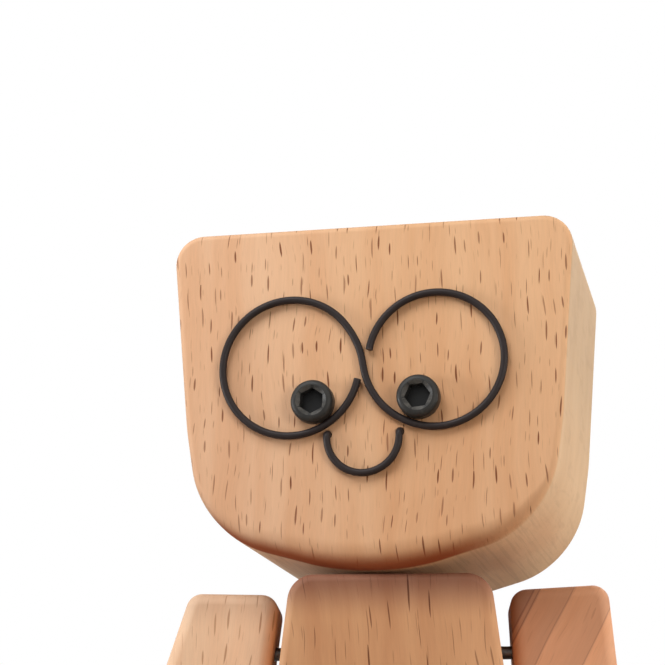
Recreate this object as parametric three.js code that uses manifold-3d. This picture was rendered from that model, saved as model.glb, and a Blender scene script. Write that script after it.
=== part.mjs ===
// A wooden dashboard figure: a seated doll of beech blocks with a face of bent wire and screw heads.
// The head turns on a pin, the arms swing on nails and the feet shake on coil springs.
// Millimetres. The figure faces -Y, +Z is up, and left and right are the viewer's.
// The origin is the centre of the seat pad's underside.
import * as THREE from "three";
import { mergeVertices } from "three/addons/utils/BufferGeometryUtils.js";
import Module from "manifold-3d";

const wasm = await Module();
wasm.setup();

const degree = Math.PI / 180;

// Clearances
const seatGap = 0.1; // between faces that rest on each other
const fixedGap = 0.1; // round a pin that is glued or driven in
const runningGap = 0.1; // round a pin that a piece turns on
const endGap = 0.3; // past the end of a pin in a blind hole
const mitreGap = 0.3; // where a slanting piece meets a flat face

// Fineness of round shapes
const pinSides = 24;
const wireSides = 8;
const arcSegments = 3;
const filletSegments = 2;
const weldDistance = 1e-4;

// Torso: narrow at the shoulders, then straight down from the hips to the seat
const torsoHeight = 44.8;
const torsoDepth = 22;
const shoulderWidth = 23.8;
const hipWidth = 28;
const torsoLean = 7 * degree; // of each side, from upright
const shoulderCorner = 3.2;
const hipCorner = 30;
const seatCorner = 2.5;
const torsoFillet = 1;

// Seat pad
const padThickness = 1;
const padInset = 0.5; // from the edge of the torso's flat underside
const padCorner = 3;

// Head: widest at the top, with a flat crown, sides that lean in more below the cheeks, and a round jaw
const headWidth = 50;
const headHeight = 42.3;
const headDepth = 35.5;
const headTaper = 4.6 * degree; // of each side, from upright, down to the cheek
const jawTaper = 8.5 * degree; // the same from the cheek down to the jaw
const crownCorner = 3.6;
const cheekDrop = 24.7; // from the crown
const cheekCorner = 40;
const jawRise = 4.7; // from the chin
const jawCorner = 12.7;
const chinWidth = 9;
const chinCorner = 30;
const headFillet = 1.6;
const faceOverhang = 2; // of the face, in front of the torso
const headTurn = -9 * degree; // at rest the face looks a little to the viewer's left

// Neck
const neckGap = 0.3; // from the torso up to the chin
const neckPinDiameter = 4;
const neckPinInTorso = 12;
const neckPinInHead = 14;
const washerDiameter = 9;
const washerThickness = 1;

// Face wire: two eye rings joined by a bar, and a nose
const wireDiameter = 0.9;
const leftRingRadius = 8.45; // to the middle of the wire
const rightRingRadius = 8.25;
const leftEyeDrop = 17.65; // from the crown
const rightEyeDrop = 17.45;
const leftEyeX = -9.8;
const rightEyeX = 8;
const leftRingSweep = 347.5 * degree; // from the point midway between the rings to the free end
const rightRingSweep = 349.4 * degree;
const leftRingOpening = 35 * degree; // how much of each ring opens out into the bar
const rightRingOpening = 70 * degree;
const openingPower = 1.5;
const ringSteps = 36;
const eyeWireStep = 1.7; // length of one straight stretch of the bent wire
const noseX = -0.95;
const noseDrop = 26.55; // from the crown to the ends of the half ring
const noseRadius = 4.4;
const noseBend = 0.5; // of the ends, into the head
const noseWireInHead = 3;
const noseSteps = 12;
const noseBendSteps = 4;
const noseWireStep = 0.55;

// Pupils: socket screws inside the eye rings, right beside the wire
const screwDiameter = 3;
const screwLength = 12;
const screwHeadDiameter = 5.2;
const screwHeadHeight = 2;
const screwRim = 0.7;
const screwTip = 0.4;
const socketWidth = 2.75; // across flats
const socketDepth = 1.5;
const leftPupilAngle = -58 * degree; // on the ring, counted from the viewer's right
const rightPupilAngle = -114.3 * degree;

// Arms, on a nail each
const shoulderDrop = 8.4; // from the torso's top to the nails
const armDepth = 11;
const armBelowNail = 25;
const armCorner = 2;
const handCorner = 5;
const armFillet = 1.5;
const leftArmGap = 1.4; // from the torso, at the nail
const leftArmSplay = 7.5 * degree; // of the inner side, from upright
const leftArmFlare = 10.4 * degree; // of the outer side, from the inner side
const leftArmWidth = 10.9; // at its top
const leftArmAboveNail = 6.8;
const leftArmTopSlope = 6.15 * degree;
const rightArmGap = 1.7;
const rightArmSplay = 2.5 * degree;
const rightArmFlare = 2.3 * degree;
const rightArmWidth = 11.9;
const rightArmAboveNail = 7.1;
const rightArmTopSlope = -0.5 * degree;
const nailDiameter = 1.6;
const nailInTorso = 7;
const nailPoint = 1.2;
const nailHeadDiameter = 4;
const nailHeadThickness = 0.8;
const nailSeat = 9.6; // from the arm's inner side to the sunk seat of the nail's head
const nailSinkClearance = 0.4;

// Legs, on a glued dowel each
const legInset = 6; // from the torso's side to the middle of the leg
const legAxisHeight = 11; // above the surface that the figure sits on
const legWidth = 12;
const legHeight = 12;
const legLength = 24;
const legSplay = 10 * degree;
const legCorner = 3;
const legFillet = 1.6;
const dowelDiameter = 5;
const dowelInTorso = 8;
const dowelInLeg = 8;
const dowelChamfer = 0.5;

// Feet, on a coil spring each
const springGap = 7; // from the leg's end to the foot
const springDiameter = 6.4; // outside
const springWire = 0.8;
const springCurls = 7;
const springPocketDepth = 3;
const springPocketGap = 0.3;
const stepsPerCurl = 8;
const springSides = 5;
const heelBelowAnkle = 7;
const toeAboveAnkle = 15.5;
const heelWidth = 13.6;
const toeWidth = 16.4;
const heelCorner = 5.5;
const toeCorner = 7;
const footThickness = 10;
const footFillet = 2;

// Places that follow from the sizes
const torsoTop = padThickness + torsoHeight;
const chinHeight = torsoTop + neckGap;
const crownHeight = chinHeight + headHeight;
const torsoFront = -torsoDepth / 2;
const faceY = torsoFront - faceOverhang;
const nailHeight = torsoTop - shoulderDrop;
const hipX = hipWidth / 2 - legInset;
const washerProud = neckGap - seatGap;
const wireY = -(seatGap + wireDiameter / 2); // the middle of a wire that lies on the face

// Finishes
const beech = { color: 0xe3b083, roughness: 0.6, metalness: 0 };
const paleDowel = { color: 0xe8c9a2, roughness: 0.7, metalness: 0 };
const blackWire = { color: 0x2e2b2a, roughness: 0.45, metalness: 0.6 };
const blackSteel = { color: 0x35312f, roughness: 0.4, metalness: 0.8 };
const darkNail = { color: 0x55504c, roughness: 0.4, metalness: 0.9 };
const brightSteel = { color: 0xb9b6b0, roughness: 0.3, metalness: 1 };
const darkFibre = { color: 0x4a4038, roughness: 0.85, metalness: 0 };
const darkFoam = { color: 0x3a3a3c, roughness: 0.95, metalness: 0 };

// A closed outline of straight sides whose corners, [x, y, radius] anticlockwise, are rounded by arcs.
function roundedOutline(corners) {
  const shape = new THREE.Shape();
  corners.forEach(([x, y, radius], i) => {
    const corner = new THREE.Vector2(x, y);
    const [beforeX, beforeY] = corners.at(i - 1);
    const [afterX, afterY] = corners[(i + 1) % corners.length];
    const before = new THREE.Vector2(beforeX - x, beforeY - y).normalize();
    const after = new THREE.Vector2(afterX - x, afterY - y).normalize();
    const halfAngle = Math.acos(before.dot(after)) / 2;
    const towardsCentre = before.clone().add(after).normalize();
    const centre = corner.clone().addScaledVector(towardsCentre, radius / Math.sin(halfAngle));
    const start = corner.clone().addScaledVector(before, radius / Math.tan(halfAngle)).sub(centre);
    const sweep = Math.PI - 2 * halfAngle;
    shape.absarc(centre.x, centre.y, radius, start.angle(), start.angle() + sweep, false);
  });
  return shape;
}

// An outline in X and Z made a block with rounded edges, from y = 0 back to y = -depth.
function block(outline, depth, fillet) {
  const geometry = new THREE.ExtrudeGeometry(outline, {
    depth: depth - 2 * fillet,
    bevelThickness: fillet,
    bevelSize: fillet,
    bevelOffset: -fillet,
    bevelSegments: filletSegments,
    curveSegments: arcSegments,
  });
  return geometry.translate(0, 0, fillet).rotateX(Math.PI / 2);
}

// A round bar of a length along Y, with its middle at the origin.
function bar(diameter, length, sides = pinSides) {
  return new THREE.CylinderGeometry(diameter / 2, diameter / 2, length, sides);
}

// A turned piece along +Y from its profile of [radius, y] points.
function turned(profile) {
  const points = profile.map(([radius, y]) => new THREE.Vector2(radius, y));
  return new THREE.LatheGeometry(points, pinSides);
}

// A round wire along points, bent smoothly through them.
function wire(points, stepLength) {
  const section = new THREE.Shape().absarc(0, 0, wireDiameter / 2, 0, 2 * Math.PI, false);
  const extrudePath = new THREE.CatmullRomCurve3(points, false, "centripetal");
  return new THREE.ExtrudeGeometry(section, {
    steps: Math.ceil(extrudePath.getLength() / stepLength),
    extrudePath,
    bevelEnabled: false,
    curveSegments: wireSides / 2,
  });
}

function solidOf(geometry) {
  const bare = geometry.clone();
  bare.deleteAttribute("normal");
  bare.deleteAttribute("uv");
  const welded = mergeVertices(bare, weldDistance);
  const vertProperties = welded.getAttribute("position").array;
  const triVerts = new Uint32Array(welded.index.array);
  return new wasm.Manifold(new wasm.Mesh({ numProp: 3, vertProperties, triVerts }));
}

// A geometry with the space of each tool taken away.
function cut(geometry, ...tools) {
  const solid = tools.reduce((rest, tool) => rest.subtract(solidOf(tool)), solidOf(geometry));
  const { vertProperties, triVerts } = solid.getMesh();
  return new THREE.BufferGeometry()
    .setAttribute("position", new THREE.BufferAttribute(vertProperties, 3))
    .setIndex(new THREE.BufferAttribute(triVerts, 1));
}

function addPiece(parent, name, geometry, finish) {
  const mesh = new THREE.Mesh(geometry, new THREE.MeshStandardMaterial(finish));
  mesh.name = name;
  parent.add(mesh);
  return mesh;
}

function torsoHalfWidth(drop) {
  return Math.min(shoulderWidth / 2 + drop * Math.tan(torsoLean), hipWidth / 2);
}

// The sides of the figure: -1 is the viewer's left.
const sides = [
  {
    name: "left",
    side: -1,
    arm: {
      gap: leftArmGap,
      splay: leftArmSplay,
      flare: leftArmFlare,
      width: leftArmWidth,
      aboveNail: leftArmAboveNail,
      topSlope: leftArmTopSlope,
    },
    eye: {
      x: leftEyeX,
      drop: leftEyeDrop,
      radius: leftRingRadius,
      sweep: leftRingSweep,
      opening: leftRingOpening,
      pupilAngle: leftPupilAngle,
    },
  },
  {
    name: "right",
    side: 1,
    arm: {
      gap: rightArmGap,
      splay: rightArmSplay,
      flare: rightArmFlare,
      width: rightArmWidth,
      aboveNail: rightArmAboveNail,
      topSlope: rightArmTopSlope,
    },
    eye: {
      x: rightEyeX,
      drop: rightEyeDrop,
      radius: rightRingRadius,
      sweep: rightRingSweep,
      opening: rightRingOpening,
      pupilAngle: rightPupilAngle,
    },
  },
];

const armInnerX = ({ arm }) => torsoHalfWidth(shoulderDrop) + arm.gap;

function seatPad() {
  const halfWidth = hipWidth / 2 - seatCorner - padInset;
  const halfDepth = torsoDepth / 2 - torsoFillet - padInset;
  const outline = roundedOutline([
    [-halfWidth, -halfDepth, padCorner],
    [halfWidth, -halfDepth, padCorner],
    [halfWidth, halfDepth, padCorner],
    [-halfWidth, halfDepth, padCorner],
  ]);
  const depth = padThickness - seatGap;
  return new THREE.ExtrudeGeometry(outline, { depth, bevelEnabled: false, curveSegments: arcSegments });
}

// The torso's outline, with its top at z = 0.
function torsoOutline() {
  const hipDrop = (hipWidth - shoulderWidth) / 2 / Math.tan(torsoLean);
  return roundedOutline([
    [-hipWidth / 2, -torsoHeight, seatCorner],
    [hipWidth / 2, -torsoHeight, seatCorner],
    [hipWidth / 2, -hipDrop, hipCorner],
    [shoulderWidth / 2, 0, shoulderCorner],
    [-shoulderWidth / 2, 0, shoulderCorner],
    [-hipWidth / 2, -hipDrop, hipCorner],
  ]);
}

function torsoBlock() {
  const body = block(torsoOutline(), torsoDepth, torsoFillet).translate(0, torsoDepth / 2, 0);
  const pinHole = bar(neckPinDiameter + 2 * fixedGap, 2 * (neckPinInTorso + endGap));
  const washerSink = washerThickness - washerProud + seatGap;
  const washerSeat = bar(washerDiameter + 2 * fixedGap, 2 * washerSink);
  const nailHoles = sides.map(({ side }) => {
    const depth = nailInTorso + endGap;
    const hole = bar(nailDiameter + 2 * fixedGap, 2 * depth).rotateZ(Math.PI / 2);
    return hole.translate(side * torsoHalfWidth(shoulderDrop), 0, -shoulderDrop);
  });
  const dowelHoles = sides.map(({ side }) => {
    const hole = bar(dowelDiameter + 2 * fixedGap, 2 * (dowelInTorso + endGap));
    return hole.translate(side * hipX, torsoFront, legAxisHeight - torsoTop);
  });
  const upright = [pinHole, washerSeat].map((tool) => tool.rotateX(Math.PI / 2));
  return cut(body, ...upright, ...nailHoles, ...dowelHoles);
}

function neckPin() {
  const length = neckPinInTorso + neckGap + neckPinInHead;
  const pin = bar(neckPinDiameter, length).translate(0, length / 2 - neckPinInTorso, 0);
  return pin.rotateX(Math.PI / 2);
}

function neckWasher() {
  const washer = bar(washerDiameter, washerThickness).translate(0, washerProud - washerThickness / 2, 0);
  const hole = bar(neckPinDiameter + 2 * fixedGap, 4 * washerThickness);
  return cut(washer, hole).rotateX(Math.PI / 2);
}

// The head is drawn from its crown down, with its face at y = 0.
function headOutline() {
  const cheekX = headWidth / 2 - cheekDrop * Math.tan(headTaper);
  const jawX = cheekX - (headHeight - jawRise - cheekDrop) * Math.tan(jawTaper);
  return roundedOutline([
    [-chinWidth / 2, -headHeight, chinCorner],
    [chinWidth / 2, -headHeight, chinCorner],
    [jawX, jawRise - headHeight, jawCorner],
    [cheekX, -cheekDrop, cheekCorner],
    [headWidth / 2, 0, crownCorner],
    [-headWidth / 2, 0, crownCorner],
    [-cheekX, -cheekDrop, cheekCorner],
    [-jawX, jawRise - headHeight, jawCorner],
  ]);
}

function headBlock() {
  const body = block(headOutline(), headDepth, headFillet).translate(0, headDepth, 0);
  const neckHole = bar(neckPinDiameter + 2 * runningGap, 2 * (neckPinInHead + endGap));
  neckHole.rotateX(Math.PI / 2).translate(0, -faceY, -headHeight);
  const screwDepth = screwLength - seatGap + endGap;
  const screwHoles = sides.map((one) => {
    const { x, z } = pupilPlace(one);
    return bar(screwDiameter + 2 * fixedGap, 2 * screwDepth).translate(x, 0, z);
  });
  const noseHoles = sides.map(({ side }) => {
    const hole = bar(wireDiameter + 2 * fixedGap, 2 * (noseWireInHead + endGap));
    return hole.translate(noseX + side * noseRadius, 0, noseBend - noseDrop);
  });
  return cut(body, neckHole, ...screwHoles, ...noseHoles);
}

// Points round an eye ring from midway between the rings, where it opens out to join the other ring.
function ringPoints({ side, eye }) {
  const midwayReach = (rightEyeX - leftEyeX) / 2;
  return Array.from({ length: ringSteps + 1 }, (_, i) => {
    const turn = (eye.sweep * i) / ringSteps;
    const opening = Math.max(0, 1 - turn / eye.opening) ** openingPower;
    const radius = eye.radius + (midwayReach - eye.radius) * opening;
    const x = eye.x - side * radius * Math.cos(turn);
    return new THREE.Vector3(x, wireY, -side * radius * Math.sin(turn) - eye.drop);
  });
}

// One wire: from the left ring's free end round to the bar, then round the right ring.
function eyeWire() {
  const [left, right] = sides.map(ringPoints);
  return wire([...left.reverse(), ...right.slice(1)], eyeWireStep);
}

// A half ring whose two ends turn back into the head.
function noseWire() {
  const end = (side) => {
    const x = noseX + side * noseRadius;
    const bend = Array.from({ length: noseBendSteps + 1 }, (_, i) => {
      const angle = (i / noseBendSteps) * (Math.PI / 2);
      const y = wireY + noseBend * (1 - Math.cos(angle));
      return new THREE.Vector3(x, y, noseBend * Math.sin(angle) - noseDrop);
    });
    return [...bend, new THREE.Vector3(x, noseWireInHead, noseBend - noseDrop)];
  };
  const under = Array.from({ length: noseSteps - 1 }, (_, i) => {
    const angle = Math.PI * (1 + (i + 1) / noseSteps);
    const x = noseX + noseRadius * Math.cos(angle);
    return new THREE.Vector3(x, wireY, noseRadius * Math.sin(angle) - noseDrop);
  });
  return wire([...end(-1).reverse(), ...under, ...end(1)], noseWireStep);
}

// The middle of a screw whose head just clears the ring's wire.
function pupilPlace({ eye }) {
  const reach = eye.radius - (wireDiameter + screwHeadDiameter) / 2 - seatGap;
  return {
    x: eye.x + reach * Math.cos(eye.pupilAngle),
    z: reach * Math.sin(eye.pupilAngle) - eye.drop,
  };
}

// A screw that faces -Y, with the underside of its head at y = 0.
function pupilScrew() {
  const radius = screwDiameter / 2;
  const headRadius = screwHeadDiameter / 2;
  const rim = Array.from({ length: filletSegments + 1 }, (_, i) => {
    const angle = ((i / filletSegments) * Math.PI) / 2;
    const rimRadius = headRadius - screwRim + screwRim * Math.cos(angle);
    return [rimRadius, screwHeadHeight - screwRim + screwRim * Math.sin(angle)];
  });
  const screw = turned([
    [0, -screwLength],
    [radius - screwTip, -screwLength],
    [radius, screwTip - screwLength],
    [radius, 0],
    [headRadius, 0],
    ...rim,
    [0, screwHeadHeight],
  ]);
  const acrossCorners = socketWidth / Math.cos(Math.PI / 6);
  const socket = bar(acrossCorners, 2 * socketDepth, 6).translate(0, screwHeadHeight, 0);
  return cut(screw, socket).rotateX(Math.PI);
}

// A right arm, or its mirror image, about the point where the nail meets its inner side.
function armBlock({ side, arm }) {
  const top = arm.aboveNail - arm.width * Math.tan(arm.topSlope);
  const handWidth = arm.width + (arm.aboveNail + armBelowNail) * Math.tan(arm.flare);
  const right = [
    [0, -armBelowNail, handCorner],
    [handWidth, -armBelowNail, handCorner],
    [arm.width, top, armCorner],
    [0, arm.aboveNail, armCorner],
  ];
  const mirrored = right.map(([x, z, radius]) => [-x, z, radius]).reverse();
  const outline = roundedOutline(side > 0 ? right : mirrored);
  const body = block(outline, armDepth, armFillet).translate(0, armDepth / 2, 0);
  body.rotateY(-side * arm.splay);
  const nailHole = bar(nailDiameter + 2 * runningGap, 4 * arm.width).rotateZ(Math.PI / 2);
  const sink = bar(nailHeadDiameter + 2 * nailSinkClearance, arm.width).rotateZ(Math.PI / 2);
  sink.translate(side * (nailSeat + arm.width / 2), 0, 0);
  return cut(body, nailHole, sink);
}

// A nail along +X or -X, with the underside of its head at x = 0.
function shoulderNail({ side, arm }) {
  const radius = nailDiameter / 2;
  const length = nailSeat + seatGap + arm.gap + nailInTorso;
  const nail = turned([
    [0, -length],
    [radius, nailPoint - length],
    [radius, 0],
    [nailHeadDiameter / 2, 0],
    [nailHeadDiameter / 2, nailHeadThickness],
    [0, nailHeadThickness],
  ]);
  return nail.rotateZ((-side * Math.PI) / 2);
}

function hipDowel() {
  const radius = dowelDiameter / 2;
  return turned([
    [0, -dowelInLeg],
    [radius - dowelChamfer, -dowelInLeg],
    [radius, dowelChamfer - dowelInLeg],
    [radius, dowelInTorso - dowelChamfer],
    [radius - dowelChamfer, dowelInTorso],
    [0, dowelInTorso],
  ]);
}

const springPocketDiameter = springDiameter + 2 * springPocketGap;

// A leg along -Y from the origin. Its rear end is cut to the torso's face, which turns by -turn here.
function legBlock(turn) {
  const spare = legWidth / 2;
  const outline = roundedOutline([
    [-legWidth / 2, -legHeight / 2, legCorner],
    [legWidth / 2, -legHeight / 2, legCorner],
    [legWidth / 2, legHeight / 2, legCorner],
    [-legWidth / 2, legHeight / 2, legCorner],
  ]);
  const body = block(outline, legLength + spare, legFillet).translate(0, spare, 0);
  const behind = new THREE.BoxGeometry(4 * legWidth, 2 * legWidth, 2 * legHeight);
  behind.translate(0, legWidth - mitreGap, 0).rotateZ(-turn);
  const dowelHole = bar(dowelDiameter + 2 * fixedGap, 2 * (dowelInLeg + endGap)).rotateZ(-turn);
  const pocket = bar(springPocketDiameter, 2 * springPocketDepth).translate(0, -legLength, 0);
  return cut(body, behind, dowelHole, pocket);
}

// A foot about its ankle, from its back at y = 0 to its sole.
function footBlock() {
  const outline = roundedOutline([
    [-heelWidth / 2, -heelBelowAnkle, heelCorner],
    [heelWidth / 2, -heelBelowAnkle, heelCorner],
    [toeWidth / 2, toeAboveAnkle, toeCorner],
    [-toeWidth / 2, toeAboveAnkle, toeCorner],
  ]);
  return cut(block(outline, footThickness, footFillet), bar(springPocketDiameter, 2 * springPocketDepth));
}

// The middle of the spring's wire, along Y from one end at y = 0, with a short straight end each way.
function springPoints(length) {
  const radius = (springDiameter - springWire) / 2;
  const count = springCurls * stepsPerCurl;
  const coil = Array.from({ length: count + 1 }, (_, i) => {
    const angle = (i / stepsPerCurl) * 2 * Math.PI;
    const y = springWire + ((length - 2 * springWire) * i) / count;
    return new THREE.Vector3(radius * Math.cos(angle), y, radius * Math.sin(angle));
  });
  const first = coil[0].clone().setY(0);
  const last = coil.at(-1).clone().setY(length);
  return [first, ...coil, last];
}

// A tube round the spring's points, its section set out from the spring's axis, closed at both ends.
function springTube(points) {
  const positions = [];
  const faces = [];
  points.forEach((point, i) => {
    const ahead = points[Math.min(i + 1, points.length - 1)];
    const behind = points[Math.max(i - 1, 0)];
    const along = ahead.clone().sub(behind).normalize();
    const out = new THREE.Vector3(point.x, 0, point.z);
    out.addScaledVector(along, -out.dot(along)).normalize();
    const across = along.clone().cross(out);
    for (let k = 0; k < springSides; k++) {
      const angle = (k / springSides) * 2 * Math.PI;
      const corner = point.clone().addScaledVector(out, (springWire / 2) * Math.cos(angle));
      positions.push(...corner.addScaledVector(across, (springWire / 2) * Math.sin(angle)));
    }
  });
  const lastRing = (points.length - 1) * springSides;
  for (let ring = 0; ring < lastRing; ring += springSides) {
    for (let k = 0; k < springSides; k++) {
      const here = ring + k;
      const next = ring + ((k + 1) % springSides);
      faces.push(here, next, here + springSides, next, next + springSides, here + springSides);
    }
  }
  for (let k = 1; k < springSides - 1; k++) {
    faces.push(0, k + 1, k, lastRing, lastRing + k, lastRing + k + 1);
  }
  return new THREE.BufferGeometry()
    .setAttribute("position", new THREE.Float32BufferAttribute(positions, 3))
    .setIndex(faces);
}

// The least gap between curls, measured between points more than half a curl apart.
function leastGap(points) {
  const apart = stepsPerCurl / 2 + 1;
  let least = Infinity;
  points.forEach((point, i) => {
    points.slice(i + apart).forEach((other) => {
      least = Math.min(least, point.distanceTo(other) - springWire);
    });
  });
  return least;
}

const figure = new THREE.Group();

addPiece(figure, "seat_pad", seatPad(), darkFoam);
addPiece(figure, "torso_block", torsoBlock(), beech).position.z = torsoTop;
addPiece(figure, "neck_pin", neckPin(), brightSteel).position.z = torsoTop;
addPiece(figure, "neck_washer", neckWasher(), darkFibre).position.z = torsoTop;

const head = new THREE.Group();
head.position.set(0, faceY, crownHeight).applyAxisAngle(new THREE.Vector3(0, 0, 1), headTurn);
head.rotation.z = headTurn;
figure.add(head);
addPiece(head, "head_block", headBlock(), beech);
addPiece(head, "eye_wire", eyeWire(), blackWire);
addPiece(head, "nose_wire", noseWire(), blackWire);

for (const one of sides) {
  const { x, z } = pupilPlace(one);
  addPiece(head, `${one.name}_pupil_screw`, pupilScrew(), blackSteel).position.set(x, -seatGap, z);

  const innerX = one.side * armInnerX(one);
  const nailX = innerX + one.side * (nailSeat + seatGap);
  const nailName = `${one.name}_shoulder_nail`;
  addPiece(figure, `${one.name}_arm`, armBlock(one), beech).position.set(innerX, 0, nailHeight);
  addPiece(figure, nailName, shoulderNail(one), darkNail).position.set(nailX, 0, nailHeight);

  const leg = new THREE.Group();
  leg.position.set(one.side * hipX, torsoFront, legAxisHeight);
  leg.rotation.z = one.side * legSplay;
  figure.add(leg);
  addPiece(figure, `${one.name}_hip_dowel`, hipDowel(), paleDowel).position.copy(leg.position);
  addPiece(leg, `${one.name}_leg`, legBlock(leg.rotation.z), beech);
  addPiece(leg, `${one.name}_foot`, footBlock(), beech).position.y = -(legLength + springGap);

  const springLength = springGap + 2 * (springPocketDepth - endGap);
  const curls = springPoints(springLength);
  const springName = `${one.name}_ankle_spring`;
  const springEnd = -(legLength + springGap + springPocketDepth - endGap);
  addPiece(leg, springName, springTube(curls), brightSteel).position.y = springEnd;
  console.log(`${springName}: least gap to itself ${leastGap(curls).toFixed(2)} mm`);
}

export default figure;
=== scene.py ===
# Wooden dashboard figure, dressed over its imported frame.
# Blender works in metres here, and the dictionaries give millimetres and degrees.
# The figure faces -Y, and left and right are the viewer's.
import math

import bmesh
import bpy
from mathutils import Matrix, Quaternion, Vector


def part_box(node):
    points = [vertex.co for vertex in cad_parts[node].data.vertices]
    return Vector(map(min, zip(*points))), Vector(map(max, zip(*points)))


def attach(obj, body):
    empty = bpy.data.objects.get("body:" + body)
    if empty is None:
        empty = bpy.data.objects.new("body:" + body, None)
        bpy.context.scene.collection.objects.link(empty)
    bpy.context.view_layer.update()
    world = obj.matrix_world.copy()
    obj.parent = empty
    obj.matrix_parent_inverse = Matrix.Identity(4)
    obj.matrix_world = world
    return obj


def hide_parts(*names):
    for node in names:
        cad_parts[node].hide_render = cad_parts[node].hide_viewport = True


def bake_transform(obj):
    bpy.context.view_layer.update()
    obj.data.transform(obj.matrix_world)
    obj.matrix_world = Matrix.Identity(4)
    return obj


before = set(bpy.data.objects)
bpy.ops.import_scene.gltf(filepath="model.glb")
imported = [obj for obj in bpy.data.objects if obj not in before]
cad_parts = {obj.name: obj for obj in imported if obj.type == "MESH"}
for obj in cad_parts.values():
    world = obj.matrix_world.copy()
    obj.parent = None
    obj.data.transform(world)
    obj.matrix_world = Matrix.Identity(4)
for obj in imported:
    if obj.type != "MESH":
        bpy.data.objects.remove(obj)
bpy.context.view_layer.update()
scene = bpy.context.scene
mm = 0.001
near = 0.00002  # in metres, how close a point has to be to count as on a line or plane
weld = 0.000001  # in metres, how close two points have to be to become one
noBend = 0.0001  # in radians, the most that a flat edge bends
squareOn = 0.9  # how nearly a face has to look along an axis, where 1 is exactly
runIn = 5  # how far outside the wood a drill starts
sideOf = {"left": -1, "right": 1}


def point(x, y, z):
    return Vector((x, y, z)) * mm


def colour(red, green, blue):  # screen values from 0 to 255, as a linear colour
    def linear(v):
        v /= 255
        return v / 12.92 if v <= 0.04045 else ((v + 0.055) / 1.055) ** 2.4

    return (linear(red), linear(green), linear(blue), 1)


# Modelling helpers

def nothing():  # object mode, with nothing selected
    if bpy.context.mode != "OBJECT":
        bpy.ops.object.mode_set(mode="OBJECT")
    bpy.ops.object.select_all(action="DESELECT")


def only(piece):
    nothing()
    piece.select_set(True)
    bpy.context.view_layer.objects.active = piece


def pick(piece, kind, test):  # leaves the piece in edit mode, with what passes the test selected
    only(piece)
    bpy.ops.object.mode_set(mode="EDIT")
    bpy.ops.mesh.select_mode(type=kind)
    bpy.ops.mesh.select_all(action="DESELECT")
    mesh = bmesh.from_edit_mesh(piece.data)
    parts = {"VERT": mesh.verts, "EDGE": mesh.edges, "FACE": mesh.faces}[kind]
    for part in parts:
        if test(part):
            part.select_set(True)
    mesh.select_flush_mode()
    bmesh.update_edit_mesh(piece.data)


def settle(piece):  # back to object mode, with the place in the mesh
    only(piece)
    bpy.ops.object.transform_apply(location=True, rotation=True, scale=True)


def turnTo(piece, axis, angle, place=(0, 0, 0)):  # turns a piece about the origin, then moves it
    only(piece)
    piece.rotation_euler["xyz".index(axis)] = math.radians(angle)
    piece.location = point(*place)
    settle(piece)


def newPiece(name):  # the primitive just added, with its place in the mesh
    piece = bpy.context.object
    piece.name = piece.data.name = name
    settle(piece)
    return piece


def addBlock(name, low, high):
    nothing()
    low, high = point(*low), point(*high)
    bpy.ops.mesh.primitive_cube_add(size=1, location=(low + high) / 2, scale=high - low)
    return newPiece(name)


def addRound(name, radius, start, end, sides):  # a cylinder between two points in millimetres
    nothing()
    start, end = point(*start), point(*end)
    bpy.ops.mesh.primitive_cylinder_add(
        vertices=sides, radius=radius * mm, depth=(end - start).length, location=(start + end) / 2,
        rotation=(end - start).to_track_quat("Z", "Y").to_euler(), end_fill_type="NGON")
    return newPiece(name)


def moveCorners(piece, test, step):  # slides the picked corners by a step in millimetres
    pick(piece, "VERT", lambda v: test(v.co))
    bpy.ops.transform.translate(value=point(*step))


def pullOut(x, y, z):  # draws the picked face out by a step in millimetres
    bpy.ops.mesh.extrude_region_move(TRANSFORM_OT_translate={"value": point(x, y, z)})


def resize(factors, about):  # scales what is picked about a place in millimetres
    bpy.ops.transform.resize(value=factors, center_override=point(*about))


def pickLevel(piece, height):  # all corners at one height
    pick(piece, "VERT", lambda v: abs(v.co.z - height * mm) < near)


def widen(piece, height, factor):  # scales everything at one height across X
    pickLevel(piece, height)
    resize((factor, 1, 1), (0, 0, height))


def cutAcross(piece, height):  # a new row of edges at one height
    pick(piece, "FACE", lambda f: True)
    bpy.ops.mesh.bisect(plane_co=point(0, 0, height), plane_no=(0, 0, 1))


def joinFlats(piece):  # makes each flat front or back one face again after a cut
    pick(piece, "EDGE", lambda e: e.calc_face_angle(1) < noBend)
    bpy.ops.mesh.dissolve_edges(use_verts=False)


def bevelPicked(width, steps, profile=0.5):
    bpy.ops.mesh.bevel(
        offset=width * mm, offset_type="OFFSET", segments=steps, profile=profile,
        affect="EDGES", clamp_overlap=False)


def roundCorner(piece, x, z, radius, steps):  # rounds the edge along Y that stands at x and z
    at = Vector((x * mm, z * mm))
    turns = []

    def standsThere(edge):
        there = all((Vector((v.co.x, v.co.z)) - at).length < near for v in edge.verts)
        if there:
            turns.append(edge.calc_face_angle())
        return there

    pick(piece, "EDGE", standsThere)
    half = turns[0] / 2
    trueArc = (1 - 1 / (2 + 2 * math.cos(half))) ** 2  # the profile that is an arc at this angle
    bevelPicked(radius * math.tan(half), steps, trueArc)


def roundRim(piece, y, radius, steps):  # rounds all edges of the flat face at one depth
    pick(piece, "EDGE", lambda e: all(abs(v.co.y - y * mm) < near for v in e.verts))
    bevelPicked(radius, steps)


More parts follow.
